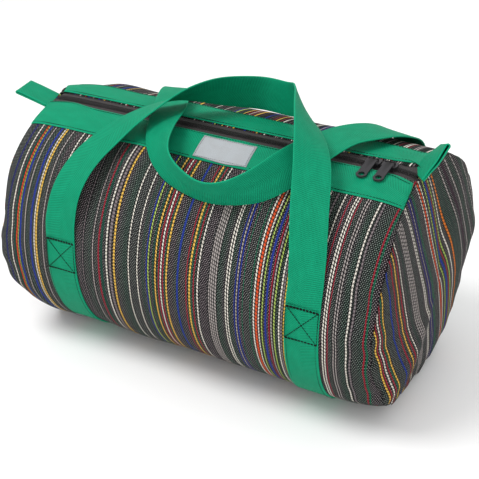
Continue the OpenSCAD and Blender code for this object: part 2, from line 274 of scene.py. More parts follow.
def web_profile(width, thickness):
    """Outline of webbing cut across: flat faces, round woven edges a little thicker than the middle."""
    half, r = width / 2, thickness / 2
    points = []
    for t in np.linspace(-1, 1, 9):
        bead = 1 + 0.22 * smooth((abs(t) - 0.86) / 0.1)
        points.append((t * (half - r), r * bead))
    for a in np.linspace(60, -60, WEB_PROFILE_SIDE):
        points.append((half - r + r * 1.05 * math.cos(math.radians(a)), r * 1.15 * math.sin(math.radians(a))))
    for t in np.linspace(1, -1, 9):
        bead = 1 + 0.22 * smooth((abs(t) - 0.86) / 0.1)
        points.append((t * (half - r), -r * bead))
    for a in np.radians(np.linspace(-60, 60, WEB_PROFILE_SIDE)):
        points.append((-half + r - r * 1.05 * math.cos(a), r * 1.15 * math.sin(a)))
    return np.array(points)


def webbing(name, middles, across, width, thickness=WEB_T):
    """Sweeps the webbing's outline along a line; across is the direction of its width at each point."""
    middles = np.asarray(middles, float)
    along = np.gradient(middles, axis=0)
    along /= np.linalg.norm(along, axis=1, keepdims=True)
    across = across - (across * along).sum(1, keepdims=True) * along
    across = across / np.linalg.norm(across, axis=1, keepdims=True)
    face = np.cross(along, across)
    profile = web_profile(width, thickness)
    rings = (middles[:, None] + profile[None, :, :1] * across[:, None] + profile[None, :, 1:] * face[:, None])
    lengths = np.concatenate([[0], np.cumsum(np.linalg.norm(np.diff(middles, axis=0), axis=1))])
    n = len(profile)
    uvs = np.stack([np.repeat(lengths, n), np.tile(profile[:, 0], len(middles))], -1)
    faces = grid_faces(len(middles), n, closed_columns=True)
    last = (len(middles) - 1) * n
    faces += [list(range(n)), [last + k for k in range(n - 1, -1, -1)]]
    piece = make_object(name, rings.reshape(-1, 3), faces, uvs)
    face_out(piece)
    return piece


# ---------------------------------------------------------------- node helpers
def linear(rgb):
    """Colour from 0-255 display values to linear."""
    c = np.array(rgb, float) / 255
    c = np.where(c <= 0.04045, c / 12.92, ((c + 0.055) / 1.055) ** 2.4)
    return (*[float(v) for v in c], 1.0)


class Nodes:
    """Short ways to add shader nodes to one material."""

    def __init__(self, name, **principled):
        self.material = bpy.data.materials.new(name)
        self.material.use_nodes = True
        self.tree = self.material.node_tree
        self.shader = self.tree.nodes["Principled BSDF"]
        for key, value in principled.items():
            self.shader.inputs[key.replace("_", " ")].default_value = value

    def add(self, kind, **settings):
        node = self.tree.nodes.new(kind)
        for key, value in settings.items():
            setattr(node, key, value)
        return node

    def link(self, value, socket):
        if isinstance(value, bpy.types.NodeSocket):
            self.tree.links.new(value, socket)
        else:
            socket.default_value = value

    def math(self, operation, a, b=0.0, c=0.0, clamp=False):
        node = self.add("ShaderNodeMath", operation=operation, use_clamp=clamp)
        for socket, value in zip(node.inputs, (a, b, c)):
            self.link(value, socket)
        return node.outputs[0]

    def mix(self, factor, a, b):
        node = self.add("ShaderNodeMix", data_type="RGBA")
        self.link(factor, node.inputs["Factor"])
        self.link(a, node.inputs[6])
        self.link(b, node.inputs[7])
        return node.outputs[2]

    def span(self, value, low, high, to_low=0.0, to_high=1.0, kind="LINEAR"):
        node = self.add("ShaderNodeMapRange", interpolation_type=kind)
        for socket, v in zip(node.inputs, (value, low, high, to_low, to_high)):
            self.link(v, socket)
        return node.outputs[0]

    def flat(self):
        """The piece's own flat coordinates in millimetres: (along, across)."""
        uv = self.add("ShaderNodeUVMap", uv_map="flat")
        parts = self.add("ShaderNodeSeparateXYZ")
        self.tree.links.new(uv.outputs[0], parts.inputs[0])
        return self.math("MULTIPLY", parts.outputs[0], 1000), self.math("MULTIPLY", parts.outputs[1], 1000)

    def point(self, u, v, w=0.0):
        node = self.add("ShaderNodeCombineXYZ")
        for socket, value in zip(node.inputs, (u, v, w)):
            self.link(value, socket)
        return node.outputs[0]

    def noise(self, vector, scale, detail=2.0, rough=0.5):
        node = self.add("ShaderNodeTexNoise")
        self.link(vector, node.inputs["Vector"])
        node.inputs["Scale"].default_value = scale
        node.inputs["Detail"].default_value = detail
        node.inputs["Roughness"].default_value = rough
        return node.outputs["Fac"]

    def wave(self, value, pitch, shift=0.0):
        """0 to 1 and back once each pitch."""
        turns = self.math("MULTIPLY_ADD", value, 2 * math.pi / pitch, shift)
        return self.math("MULTIPLY_ADD", self.math("SINE", turns), 0.5, 0.5)

    def bump(self, height, distance, strength=1.0):
        node = self.add("ShaderNodeBump")
        node.inputs["Strength"].default_value = strength
        node.inputs["Distance"].default_value = distance
        self.link(height, node.inputs["Height"])
        self.tree.links.new(node.outputs[0], self.shader.inputs["Normal"])

    def colour(self, value):
        self.link(value, self.shader.inputs["Base Color"])

    def ramp(self, factor, stops, interpolation="LINEAR"):
        """stops are (position, colour, alpha)."""
        node = self.add("ShaderNodeValToRGB")
        ramp = node.color_ramp
        ramp.interpolation = interpolation
        for k, (position, colour, alpha) in enumerate(stops):
            stop = ramp.elements[k] if k < 2 else ramp.elements.new(position)
            stop.position = position
            stop.color = (*colour[:3], alpha)
        self.link(factor, node.inputs[0])
        return node.outputs[0], node.outputs[1]


def finish_piece(piece, material, body="bag", nodes=()):
    piece.data.materials.clear()
    piece.data.materials.append(material)
    if body:
        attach(piece, body)
    if nodes:
        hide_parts(*nodes)
    return piece


# ---------------------------------------------------------------- striped cloth
YARNS = {
    "white": linear((222, 216, 204)), "silver": linear((166, 158, 154)), "grey": linear((126, 116, 118)),
    "red": linear((142, 24, 44)), "scarlet": linear((212, 82, 44)), "orange": linear((214, 120, 44)),
    "yellow": linear((224, 180, 82)), "lime": linear((160, 182, 92)), "green": linear((16, 90, 64)),
    "plum": linear((52, 38, 46)),
    "pine": linear((20, 64, 52)), "blue": linear((30, 48, 132)), "violet": linear((34, 32, 92)),
    "smoke": linear((44, 58, 52)),
}
ROPE_LIKE = ("white", "silver", "grey", "scarlet", "orange", "yellow", "lime")
# stripes of the body, left to right: middle in mm from the strap middle, width in mm, yarn
BODY_STRIPES = [
    (-222, 3.0, "violet"), (-214, 2.0, "white"), (-209, 3.6, "pine"), (-206, 2.2, "scarlet"),
    (-204, 1.2, "lime"), (-201.6, 3.0, "blue"), (-195.5, 1.8, "silver"), (-187, 3.2, "blue"),
    (-182, 2.0, "white"), (-179.6, 2.2, "yellow"), (-171, 1.6, "silver"), (-166.5, 1.8, "smoke"),
    (-157, 1.8, "white"), (-150, 2.0, "white"), (-147.8, 1.6, "red"), (-139, 1.8, "silver"),
    (-131, 2.2, "green"), (-118, 1.4, "grey"), (-105, 1.6, "silver"), (-97.5, 2.2, "red"),
    (-94, 3.4, "pine"), (-87.6, 2.1, "white"), (-83, 3.4, "grey"), (-78, 2.3, "yellow"),
    (-63.5, 1.8, "smoke"), (-59.3, 1.9, "white"), (-47.8, 1.9, "white"), (-41, 2.8, "smoke"),
    (-35.6, 2.0, "blue"), (-33.2, 2.0, "lime"), (-27, 2.2, "pine"), (-24, 1.9, "yellow"),
    (-19.5, 1.8, "red"), (-17, 1.8, "white"), (-14.5, 1.8, "red"), (-11.8, 1.4, "green"),
    (-9.7, 2.3, "yellow"), (4.1, 3.0, "blue"), (14.8, 1.8, "red"), (18.9, 2.2, "yellow"),
    (20.9, 1.2, "green"), (23.6, 1.6, "red"), (28.3, 1.9, "white"), (41.9, 1.9, "silver"),
    (44.2, 1.9, "silver"), (46.5, 1.9, "silver"), (48.8, 1.9, "silver"),
    (60.6, 1.6, "white"), (63.2, 1.6, "white"),
    (71, 1.8, "blue"), (73, 1.6, "silver"), (75.2, 1.8, "blue"), (80, 1.4, "green"),
    (89, 1.4, "green"), (93, 1.8, "white"), (95.9, 2.6, "scarlet"), (98.8, 1.6, "white"),
    (102.5, 1.8, "lime"), (106.8, 3.0, "blue"), (110.8, 1.6, "red"), (113.2, 1.6, "silver"),
    (116.2, 2.0, "lime"), (121.5, 1.9, "white"), (124, 2.2, "grey"), (126.4, 1.9, "yellow"),
    (134, 2.4, "smoke"), (141, 1.8, "white"), (149, 2.2, "grey"), (157, 1.8, "white"),
    (163, 1.4, "red"), (168.6, 1.5, "white"), (171.2, 1.5, "white"), (173.6, 1.3, "red"),
    (180, 1.4, "silver"), (182.6, 1.4, "silver"), (193.5, 1.8, "white"), (197.4, 2.0, "grey"),
    (210.8, 1.8, "red"), (213.3, 1.8, "green"),
]
# stripes of the end panels, front to back: middle in mm from the bag's middle plane, at mid height
END_STRIPES = [
    (-136.5, 2.0, "yellow"), (-134, 1.8, "red"), (-130.5, 2.0, "white"), (-127.4, 1.8, "red"),
    (-124.6, 1.6, "green"), (-122.2, 2.0, "yellow"), (-109.1, 2.8, "blue"), (-100.2, 2.4, "red"),
    (-93.9, 2.2, "yellow"), (-88.6, 2.4, "red"), (-83.8, 1.8, "white"), (-76, 5.0, "smoke"),
    (-69.2, 2.2, "silver"), (-66.0, 2.2, "silver"), (-62.8, 2.2, "silver"), (-59.6, 2.2, "silver"),
    (-43.4, 2.0, "white"), (-40.2, 2.0, "white"), (-32.4, 3.6, "violet"), (-29.2, 1.5, "silver"),
    (-26.0, 3.6, "violet"), (-20.1, 2.8, "green"), (-3.6, 2.0, "white"), (0.4, 3.4, "scarlet"),
    (4.4, 2.0, "white"), (11.9, 2.6, "lime"), (17.7, 4.6, "blue"), (23.1, 2.6, "red"), (27.7, 2.8, "lime"),
    (36.0, 2.6, "white"), (45.3, 3.8, "orange"), (58, 6.0, "smoke"), (70.1, 2.2, "silver"),
    (78, 5.0, "plum"), (87.1, 2.6, "silver"), (102.2, 2.2, "silver"), (113, 3.0, "smoke"),
    (124.4, 2.4, "silver"), (136, 2.0, "white"),
]
DASH = 4.0            # length of one stitch of rope-like yarn, mm
COLUMN = 2.3          # distance between neighbouring rows of stitches, mm
SHADE = 0.9           # width of the dark gap beside a rope-like yarn, mm
FLAT_YARN, ROPE_YARN = 0.5, 1.0
FLAT_SHARE, ROPE_SHARE = 0.72, 0.88      # how much of its place each kind of yarn fills


def stripe_stops(part, low, high):
    """Stops of one ramp. Alpha tells a flat yarn from a rope-like one, which has a dark gap on each side."""
    black = linear((16, 14, 18))
    stops = [(0.0, black, 0.0)]
    for place, width, yarn in part:
        half = width / 2 * (ROPE_SHARE if yarn in ROPE_LIKE else FLAT_SHARE)
        begin, end = place - half, place + half
        if yarn in ROPE_LIKE:
            edges = [(begin - SHADE, black, FLAT_YARN), (begin, YARNS[yarn], ROPE_YARN),
                     (end, black, FLAT_YARN), (end + SHADE, black, 0.0)]
        else:
            edges = [(begin, YARNS[yarn], FLAT_YARN), (end, black, 0.0)]
        for at, colour, kind in edges:
            share = (at - low) / (high - low)
            if share <= stops[-1][0]:
                stops.pop()
            stops.append((share, colour, kind))
    return stops


def striped_cloth(name, stripes):
    """Coarse cloth: charcoal ground, flat coloured yarns and rope-like ones made of slanted stitches."""
    m = Nodes(name, Roughness=0.85)
    m.shader.inputs["Specular IOR Level"].default_value = 0.08
    u, v = m.flat()
    sway = m.noise(m.point(m.math("MULTIPLY", u, 0.05), m.math("MULTIPLY", v, 0.02)), 1.0, 1.0)
    u = m.math("ADD", u, m.math("MULTIPLY_ADD", sway, 1.6, -0.8))
    column = m.math("FLOOR", m.math("DIVIDE", u, COLUMN))
    shifted = m.math("ADD", v, m.math("MULTIPLY", m.math("FRACT", m.math("MULTIPLY", column, 0.618)), DASH))
    tilt = m.math("ADD", shifted, u)
    bead = m.math("ABSOLUTE", m.math("SINE", m.math("MULTIPLY", tilt, math.pi / DASH)))
    stitch = m.span(bead, 0.28, 0.58, kind="SMOOTHSTEP")
    row = m.math("MULTIPLY", m.math("FLOOR", m.math("DIVIDE", v, 1.9)), 1.15)
    fine = m.math("MULTIPLY", m.wave(m.math("ADD", u, row), 2.3), m.wave(v, 1.9))
    grain = m.noise(m.point(u, m.math("MULTIPLY", v, 0.8)), 0.9, 2.0, 0.7)
    speck = m.span(m.math("MULTIPLY_ADD", fine, 0.6, grain), 0.7, 1.0, kind="SMOOTHSTEP")
    tint = m.span(m.noise(m.point(m.math("MULTIPLY", u, 0.07), 3.0), 1.0, 2.0), 0.42, 0.58)
    dark = m.mix(tint, linear((20, 16, 20)), linear((16, 24, 21)))
    light = m.mix(tint, linear((150, 140, 142)), linear((116, 136, 124)))
    colour = m.mix(speck, dark, light)
    relief = 0.0
    for start in range(0, len(stripes), 7):
        part = stripes[start:start + 7]
        low, high = part[0][0] - 8, part[-1][0] + 8
        yarns, kind = m.ramp(m.span(u, low, high), stripe_stops(part, low, high), "CONSTANT")
        there = m.span(kind, 0.0, FLAT_YARN)
        rope = m.span(kind, FLAT_YARN, ROPE_YARN)
        solid = m.math("ADD", m.math("MULTIPLY", rope, stitch), m.math("MULTIPLY_ADD", rope, -0.9, 0.9))
        shown = m.math("MULTIPLY", there, solid)
        gap = m.mix(m.math("MULTIPLY", rope, 0.8), colour, linear((20, 18, 22)))
        colour = m.mix(shown, gap, yarns)
        relief = m.math("MULTIPLY_ADD", rope, bead, relief)
    worn = m.noise(m.point(m.math("MULTIPLY", u, 0.6), m.math("MULTIPLY", v, 0.25)), 1.0, 3.0)
    m.colour(m.mix(m.span(worn, 0.45, 0.8, 0.0, 0.2), colour, linear((50, 46, 50))))
    height = m.math("MULTIPLY_ADD", fine, 0.5, relief)
    m.bump(height, 0.5 * MM, 0.9)
    return m.material


def place_cloth(x, angle, h):
    """Points of the body cloth, which turns in at both seams."""
    seam = np.minimum(x - LEFT_SEAM_X, RIGHT_SEAM_X - x)
    tuck = -1.8 * MM * np.exp(-seam / (0.7 * MM))
    return surface(at_seams(x, angle), angle, h + tuck, folds=True)


def make_body(material):
    edge = span_at(ZIP_AT, ZIP_SLOT - 0.3 * MM)
    near = np.array([0.0, 0.8, 1.8, 3, 5, 8, 12, 17, 23, 30]) * MM
    xs = np.concatenate([LEFT_SEAM_X + near,
                         np.linspace(LEFT_SEAM_X + 34 * MM, RIGHT_SEAM_X - 34 * MM, 118),
                         (RIGHT_SEAM_X - near)[::-1]])
    angles = np.linspace(ZIP_AT + edge - 360, ZIP_AT - edge, 330)

    cloth = slab("body_cloth", place_cloth, xs, angles, -CLOTH_T, 0,
                 uv=lambda u, v: (at_seams(u, v), arc_at(v)))
    finish_piece(cloth, material, nodes=["body_panel"])
    return cloth


def grain_at(y, z):
    """Place across the end cloth's stripes, in metres. The cloth is sewn in askew, and its stripes lean
    and fan out over the bulge."""
    y, z = y / MM, (z - BODY_MID_Z) / MM
    lean = 0.484 + 0.00062 * y - 8.5e-6 * y ** 2
    return (y + lean * z - 0.000625 * z ** 2 - 5.1e-6 * z ** 3) * MM


def make_end(name, side, material, node):
    """The round end cloth, bulging, with soft radial folds at its seam."""
    seam = RIGHT_SEAM_X if side > 0 else LEFT_SEAM_X
    bulge = 17 * MM
    angles = np.arange(0, 360, 2.5)
    shares = np.concatenate([[0.985, 0.998], np.cos(np.linspace(0.16, math.pi / 2, 26))[:-1], [0.02]])
    rim = surface(at_seams(seam, angles), angles, 0, folds=True)
    middle = np.array([seam + STRAP_MID_X, 0, BODY_MID_Z])
    a = np.radians(angles)

    def skin(inward):
        rings = []
        for k, s in enumerate(shares):
            out = bulge * (1 - s ** 2.6) ** 0.85
            if k == 0:
                out = 0
            folds = 0.9 * MM * np.exp(-(1 - s) / 0.09) * np.sin(23 * a + 1.0) * smooth((1 - s) / 0.02)
            dents = 1.6 * MM * np.sin(2 * a + 1 + 3 * s) * s * (1 - s) * 4
            ring = middle + (rim - middle) * s
            lump = 6.5 * MM * hill(ring[:, 1], 112 * MM, 36 * MM) * hill(ring[:, 2], 142 * MM, 34 * MM)
            ring[:, 0] += side * (out + folds + dents + lump * (k > 0) - inward)
            ring[:, 1:] -= (rim - middle)[:, 1:] / BODY_R * inward
            rings.append(ring)
        return np.concatenate(rings)

    outer, inner = skin(0.0), skin(CLOTH_T)
    n, rows = len(angles), len(shares)
    count = rows * n
    last = (rows - 1) * n
    faces = grid_faces(rows, n, closed_columns=True)
    faces += grid_faces(rows, n, count, closed_columns=True, flip=True)
    faces += [[last + j for j in range(n)], [count + last + j for j in range(n - 1, -1, -1)]]
    faces += [[j, (j + 1) % n, count + (j + 1) % n, count + j] for j in range(n)]
    points = np.vstack([outer, inner])
    flat = np.stack([grain_at(points[:, 1], points[:, 2]), points[:, 2]], -1)
    piece = make_object(name, points, faces, flat)
    face_out(piece)
    finish_piece(piece, material, nodes=[node])
    return piece


# ---------------------------------------------------------------- webbing and facings
# The first two greens are lit and shaded copies of the webbing's colour. The weave mixes them, painting light
# on the rib crests and shade in the grooves. The third, paler green serves random patches and the painted
# highlight along the edges.
WEB_LIT = linear((8, 162, 118))
WEB_SHADED = linear((0, 92, 66))
WEB_PALE = linear((16, 160, 118))


def web_material(name, half_width):
    """Ribbed nylon webbing: fine ribs across it with painted light on their crests and painted shade in their
    grooves, edges painted brighter as a highlight, a few fuzzy fibres.
    """
    m = Nodes(name, Roughness=0.62)
    m.shader.inputs["Specular IOR Level"].default_value = 0.1
    along, across = m.flat()
    slant = m.math("MULTIPLY_ADD", m.math("ABSOLUTE", across), 0.35, along)
    ribs = m.wave(slant, 1.9)
    warp = m.wave(across, 1.3)
    patches = m.noise(m.point(m.math("MULTIPLY", along, 0.05), m.math("MULTIPLY", across, 0.12)), 1.0, 3.0)
    fibre = m.noise(m.point(m.math("MULTIPLY", along, 0.5), m.math("MULTIPLY", across, 3.0)), 1.0, 2.0, 0.6)
    weave = m.math("ADD", m.math("MULTIPLY", ribs, 0.62), m.math("MULTIPLY", warp, 0.38))
    groove_shade_and_fibre = m.math("ADD", m.math("MULTIPLY", weave, 0.55), m.math("MULTIPLY", fibre, 0.45))
    # painted light and shade: the weave's grooves take the shaded green and its crests the lit green; the
    # fibre noise adds random tone
    colour = m.mix(m.span(groove_shade_and_fibre, 0.2, 0.85), WEB_SHADED, WEB_LIT)
    colour = m.mix(m.span(patches, 0.4, 0.75, 0.0, 0.25), colour, WEB_PALE)
    # painted highlight: the last 1.6 mm of each face and the rounded edges are mixed towards the pale green,
    # where the edges catch the light
    edge = m.span(m.math("ABSOLUTE", across), half_width - 1.6, half_width - 0.5, 0.0, 0.4)
    colour = m.mix(edge, colour, WEB_PALE)
    m.colour(colour)
    height = m.math("ADD", weave, m.math("MULTIPLY", fibre, 0.3))
    m.bump(height, 0.35 * MM, 0.7)
    return m.material


BACK_SLOT = ZIP_SLOT + 0.6 * MM      # half width of the slot beside the back facing


def facing_edge(x):
    """Half width of the slot beside the front facing, which swells over the zip at its left end."""
    return ZIP_SLOT - 3.6 * MM * hill(x, LEFT_SEAM_X + 30 * MM, 17 * MM)


def zip_bend(x):
    """How far the zip leaves its straight line for the front, over the right shoulder."""
    return -6 * MM * smooth((x - 188 * MM) / (26 * MM))


def back_edge(x):
    """Place of the back facing's edge beside the zip; it swells, then curls round the zip's right end."""
    swell = 1.5 * MM * smooth((x - 140 * MM) / (30 * MM)) + 5.5 * MM * hill(x, 197 * MM, 14 * MM)
    curl = 6.5 * MM * np.clip((x - 190 * MM) / (24 * MM), 0, 1.2) ** 2
    return BACK_SLOT + zip_bend(x) + swell - curl


def make_facings(material):
    xs = np.concatenate([[LEFT_SEAM_X], np.linspace(LEFT_SEAM_X + 0.6 * MM, RIGHT_SEAM_X - 0.6 * MM, 130),
                         [RIGHT_SEAM_X]])
    share = np.concatenate([[0, 0.02], np.linspace(0.06, 0.94, 14), [0.98, 1]])
    per_mm = span_at(ZIP_AT, MM) / MM
    middle_front = 0.5 * (FRONT_HEM_AT + ZIP_AT)

    def front(x, t, h):
        x = at_seams(x, FRONT_HEM_AT + (ZIP_AT - FRONT_HEM_AT) * t)
        top = ZIP_AT + (zip_bend(x) - facing_edge(x)) * per_mm
        angle = FRONT_HEM_AT + (top - FRONT_HEM_AT) * t
        ripple = 0.35 * MM * np.sin(x / MM / 11) * smooth((t - 0.7) / 0.3)
        wave = ripple + 0.25 * MM * np.sin(x / MM / 7 + 2) * (1 - t)
        return surface(x, angle, h + wave * (h > 1.2 * MM))

    def back(x, t, h):
        x = at_seams(x, ZIP_AT + (BACK_HEM_AT - ZIP_AT) * t)
        low = ZIP_AT + back_edge(x) * per_mm
        angle = low + (BACK_HEM_AT - low) * t
        wave = 0.35 * MM * np.sin(x / MM / 13 + 1) * (1 - t)
        return surface(x, angle, h + wave * (h > 1.2 * MM))

    width = float(radius_at(middle_front)) * math.radians(ZIP_AT - FRONT_HEM_AT) - ZIP_SLOT
    pieces = []
    for name, place, node in (("front_zip_facing_web", front, "front_zip_facing"),
                              ("back_zip_facing_web", back, "back_zip_facing")):
        piece = slab(name, place, xs, share, FACING_LOW, FACING_TOP, uv=lambda u, v: (u, (v - 0.5) * width))
        finish_piece(piece, material, nodes=[node])
        pieces.append(piece)
    return pieces


def make_strap(name, side, material, node):
    angles = np.linspace(FRONT_END_AT, BACK_END_AT - 360, 260)
    x = side * STRAP_X
    middles = surface(x, angles, WEB_H)
    across = np.tile([1.0, 0.0, 0.0], (len(angles), 1))
    strap = webbing(name, middles, across, WEB_W)
    return finish_piece(strap, material, nodes=[node])


def smooth_route(route, steps):
    """Catmull-Rom curve through the rows."""
    rows = np.array(route, float)
    rows = np.vstack([2 * rows[0] - rows[1], rows, 2 * rows[-1] - rows[-2]])
    out = []
    for i in range(1, len(rows) - 2):
        a, b, c, d = rows[i - 1:i + 3]
        for t in np.arange(steps) / steps:
            out.append(0.5 * (2 * b + (c - a) * t + (2 * a - 5 * b + 4 * c - d) * t ** 2
                              + (3 * b - a - 3 * c + d) * t ** 3))
    out.append(rows[-2])
    return np.array(out)


def make_handle(name, route, side, end_at, material, node):
    """Webbing that leaves the bag at its sewn ends and follows its route."""
    rows = smooth_route(route, 9)
    sewn_h = WEB_H / MM
    first = [route[0][0], end_at, sewn_h, 0]
    last = [route[-1][0], end_at, sewn_h, 0]
    rows = np.vstack([first, rows, last])
    x, angle, lift, twist = rows.T
    x, lift = x * MM, lift * MM
    twist = np.radians(twist)
    out = outward(x, angle)
    middles = surface(x, angle, 0) + out * (lift + WEB_W / 2 * np.abs(np.sin(twist)))[:, None]
    along = np.gradient(middles, axis=0)
    along /= np.linalg.norm(along, axis=1, keepdims=True)
    inward = np.cross(along, out) * side
    inward /= np.linalg.norm(inward, axis=1, keepdims=True)
    across = np.cos(twist)[:, None] * inward + np.sin(twist)[:, None] * out
    piece = webbing(name, middles, across, WEB_W)
    piece.data.materials.append(material)
    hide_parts(node)
    start = surface(STRAP_X, end_at, WEB_H)
    turn = 1 if end_at < 90 else -1
    end = surface(STRAP_X, end_at + turn * 5.5, WEB_H)
    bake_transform(piece)
    return piece


def make_loop(name, joint_name, line, width_line, opening, material, node, body):
    """A doubled length of webbing: two layers that follow a line from the sewn root and part towards
    the fold. The points of line and the widths' directions are in mm from the strap middle."""
    rows = smooth_route(np.hstack([line, width_line]), 8)
    path, wide = rows[:, :3] * MM, rows[:, 3:]
    path[:, 0] += STRAP_MID_X
    along = np.gradient(path, axis=0)
    along /= np.linalg.norm(along, axis=1, keepdims=True)
    wide = wide - (wide * along).sum(1, keepdims=True) * along
    wide /= np.linalg.norm(wide, axis=1, keepdims=True)
    off = np.cross(along, wide)
    share = np.linspace(0, 1, len(path))
    half = (0.85 + (opening - 0.85) * smooth(share / 0.85)) * MM
    upper = path + off * half[:, None]
    lower = path - off * half[:, None]
    fold = [path[-1] + half[-1] * (off[-1] * math.cos(a) + along[-1] * math.sin(a))
            for a in np.linspace(0, math.pi, 11)[1:-1]]
    middles = np.vstack([upper, fold, lower[::-1]])
    across = np.vstack([wide, np.tile(wide[-1], (len(fold), 1)), wide[::-1]])
    piece = webbing(name, middles, across, WEB_W, WEB_T * 0.95)
    piece.data.materials.append(material)
    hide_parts(node)
    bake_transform(piece)
    return piece


# middles of the end loops and the directions of their width, mm from the strap middle
LEFT_LOOP = (
    [(-238, -19.7, 244.9), (-245.5, -21, 247.5), (-257, -22.4, 251.2), (-269, -25, 255.6),
     (-280, -27.4, 259.4)],
    [(0.19, -0.98, 0.02)] * 5)
RIGHT_LOOP = (
    [(208, -21.5, 253), (211, -18.5, 257.5), (216, -12.5, 265.5), (221, -6.5, 273), (225.4, -0.6, 280)],
    [(0.03, 0.88, 0.47), (0, 0.9, 0.43), (-0.08, 0.93, 0.32), (-0.18, 0.95, 0.1), (-0.29, 0.94, -0.18)])


# ---------------------------------------------------------------- zip
def on_zip(x, y, z):
    """Point beside the zip line: y along the cloth towards the back, z off it."""
    x = at_seams(x, ZIP_AT)
    angle = ZIP_AT + np.degrees((np.asarray(y) + zip_bend(x)) / radius_at(ZIP_AT))
    return surface(x, angle, z)


def tape_material():
    m = Nodes("zip_tape_weave", Roughness=0.8)
    m.shader.inputs["Specular IOR Level"].default_value = 0.2
    m.shader.inputs["Sheen Weight"].default_value = 0.2
    along, across = m.flat()
    zigzag = m.math("PINGPONG", across, 2.2)
    bone = m.wave(m.math("ADD", along, zigzag), 1.2)
    dust = m.noise(m.point(along, across), 0.8, 2.0)
    m.colour(m.mix(m.math("MULTIPLY", bone, dust), linear((24, 17, 19)), linear((58, 44, 46))))
    m.bump(bone, 0.25 * MM, 0.7)
    return m.material


def coil_material():
    m = Nodes("zip_coil_nylon", Roughness=0.42)
    m.shader.inputs["Specular IOR Level"].default_value = 0.45
    place = m.add("ShaderNodeTexCoord").outputs["Object"]
    dull = m.noise(place, 900.0, 2.0)
    m.colour(m.mix(dull, linear((14, 12, 13)), linear((38, 31, 33))))
    m.bump(dull, 0.05 * MM, 0.4)
    return m.material


def make_zip(tape, nylon):
    xs = np.linspace(LEFT_SEAM_X, RIGHT_SEAM_X, 140)
    for side, word in ((-1, "front"), (1, "back")):
        ys = np.array([0.9, 1.4, 3, 5.5, 8, 10.5, 13, 16, 19.5, 20]) * MM
        piece = slab(word + "_zip_tape_cloth", lambda u, v, h, s=side: on_zip(u, s * v, h), xs, ys,
                     -2.1 * MM, -1.35 * MM, edge=0.2 * MM)
        finish_piece(piece, tape, nodes=[word + "_zip_tape"])
        coil = make_coil(word + "_zip_coil_turns", side)
        finish_piece(coil, nylon, nodes=[word + "_zip_coil"])


def make_coil(name, side):
    """Every turn of the coil: a flat oval of nylon wire laid over the tape's edge."""
    pitch, wire = 1.85 * MM, 0.62 * MM
    turns = np.arange(LEFT_SEAM_X + 3 * MM, RIGHT_SEAM_X - 3 * MM, pitch)
    path_angles = np.linspace(0, 2 * math.pi, 12, endpoint=False)
    ring_angles = np.linspace(0, 2 * math.pi, 5, endpoint=False)
    reach, lift = 2.1 * MM, 0.62 * MM
    middle_y, middle_z = 2.75 * MM, 0.0 * MM
    points, faces = [], []
    for turn in turns:
        shift = (0.25 if side > 0 else 0.75) * pitch
        first = len(points)
        for a in path_angles:
            y = middle_y + reach * math.cos(a) - 0.25 * MM
            z = middle_z + lift * math.sin(a) * (1.15 if math.cos(a) < 0 else 0.9)
            x = turn + shift + 0.32 * pitch * math.sin(a) * 0.5
            for b in ring_angles:
                grow = wire * 0.5 * (1 + 0.25 * (math.cos(a) < -0.7))
                points.append((x + grow * math.sin(b) * 1.25, y + grow * math.cos(b) * math.cos(a),
                               z + grow * math.cos(b) * math.sin(a)))
        faces += grid_faces(len(path_angles), len(ring_angles), first, closed_rows=True, closed_columns=True)
    points = np.array(points)
    placed = on_zip(points[:, 0], side * points[:, 1], points[:, 2])
    piece = make_object(name, placed, faces)
    face_out(piece)
    return piece


def metal_material():
    m = Nodes("black_enamel", Roughness=0.4)
    m.shader.inputs["Specular IOR Level"].default_value = 0.22
    m.shader.inputs["Coat Weight"].default_value = 0.06
    m.shader.inputs["Coat Roughness"].default_value = 0.3
    place = m.add("ShaderNodeTexCoord").outputs["Object"]
    cloud = m.noise(place, 260.0, 3.0)
    scratch = m.noise(place, 1400.0, 2.0)
    worn = m.add("ShaderNodeNewGeometry").outputs["Pointiness"]
    edge = m.span(worn, 0.52, 0.6, 0.0, 0.4)
    colour = m.mix(cloud, linear((8, 7, 9)), linear((22, 21, 24)))
    m.colour(m.mix(edge, colour, linear((64, 62, 66))))
    m.link(m.span(scratch, 0.3, 0.7, 0.3, 0.5), m.shader.inputs["Roughness"])
    m.bump(cloud, 0.06 * MM, 0.5)
    return m.material


def dress_hardware(material):
    """The CAD sliders and pulls keep their shape, with soft edges and enamel."""
    for word in ("left", "right"):
        for part in ("slider_body", "slider_bail", "pull"):
            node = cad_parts[word + "_" + part]
            node.data.materials.clear()
            node.data.materials.append(material)
            soft = node.modifiers.new("soft_edges", "BEVEL")
            soft.width = 0.35 * MM
            soft.segments = 2
            soft.limit_method = "ANGLE"
            soft.angle_limit = math.radians(40)
            soft.harden_normals = False


# ---------------------------------------------------------------- thread
def thread_material():
    m = Nodes("bonded_thread", Roughness=0.6)
    m.shader.inputs["Specular IOR Level"].default_value = 0.1
    along, across = m.flat()
    ply = m.wave(m.math("ADD", along, across), 0.6)
    m.colour(m.mix(ply, linear((4, 8, 7)), linear((16, 26, 22))))
    m.bump(ply, 0.08 * MM, 0.6)
    return m.material


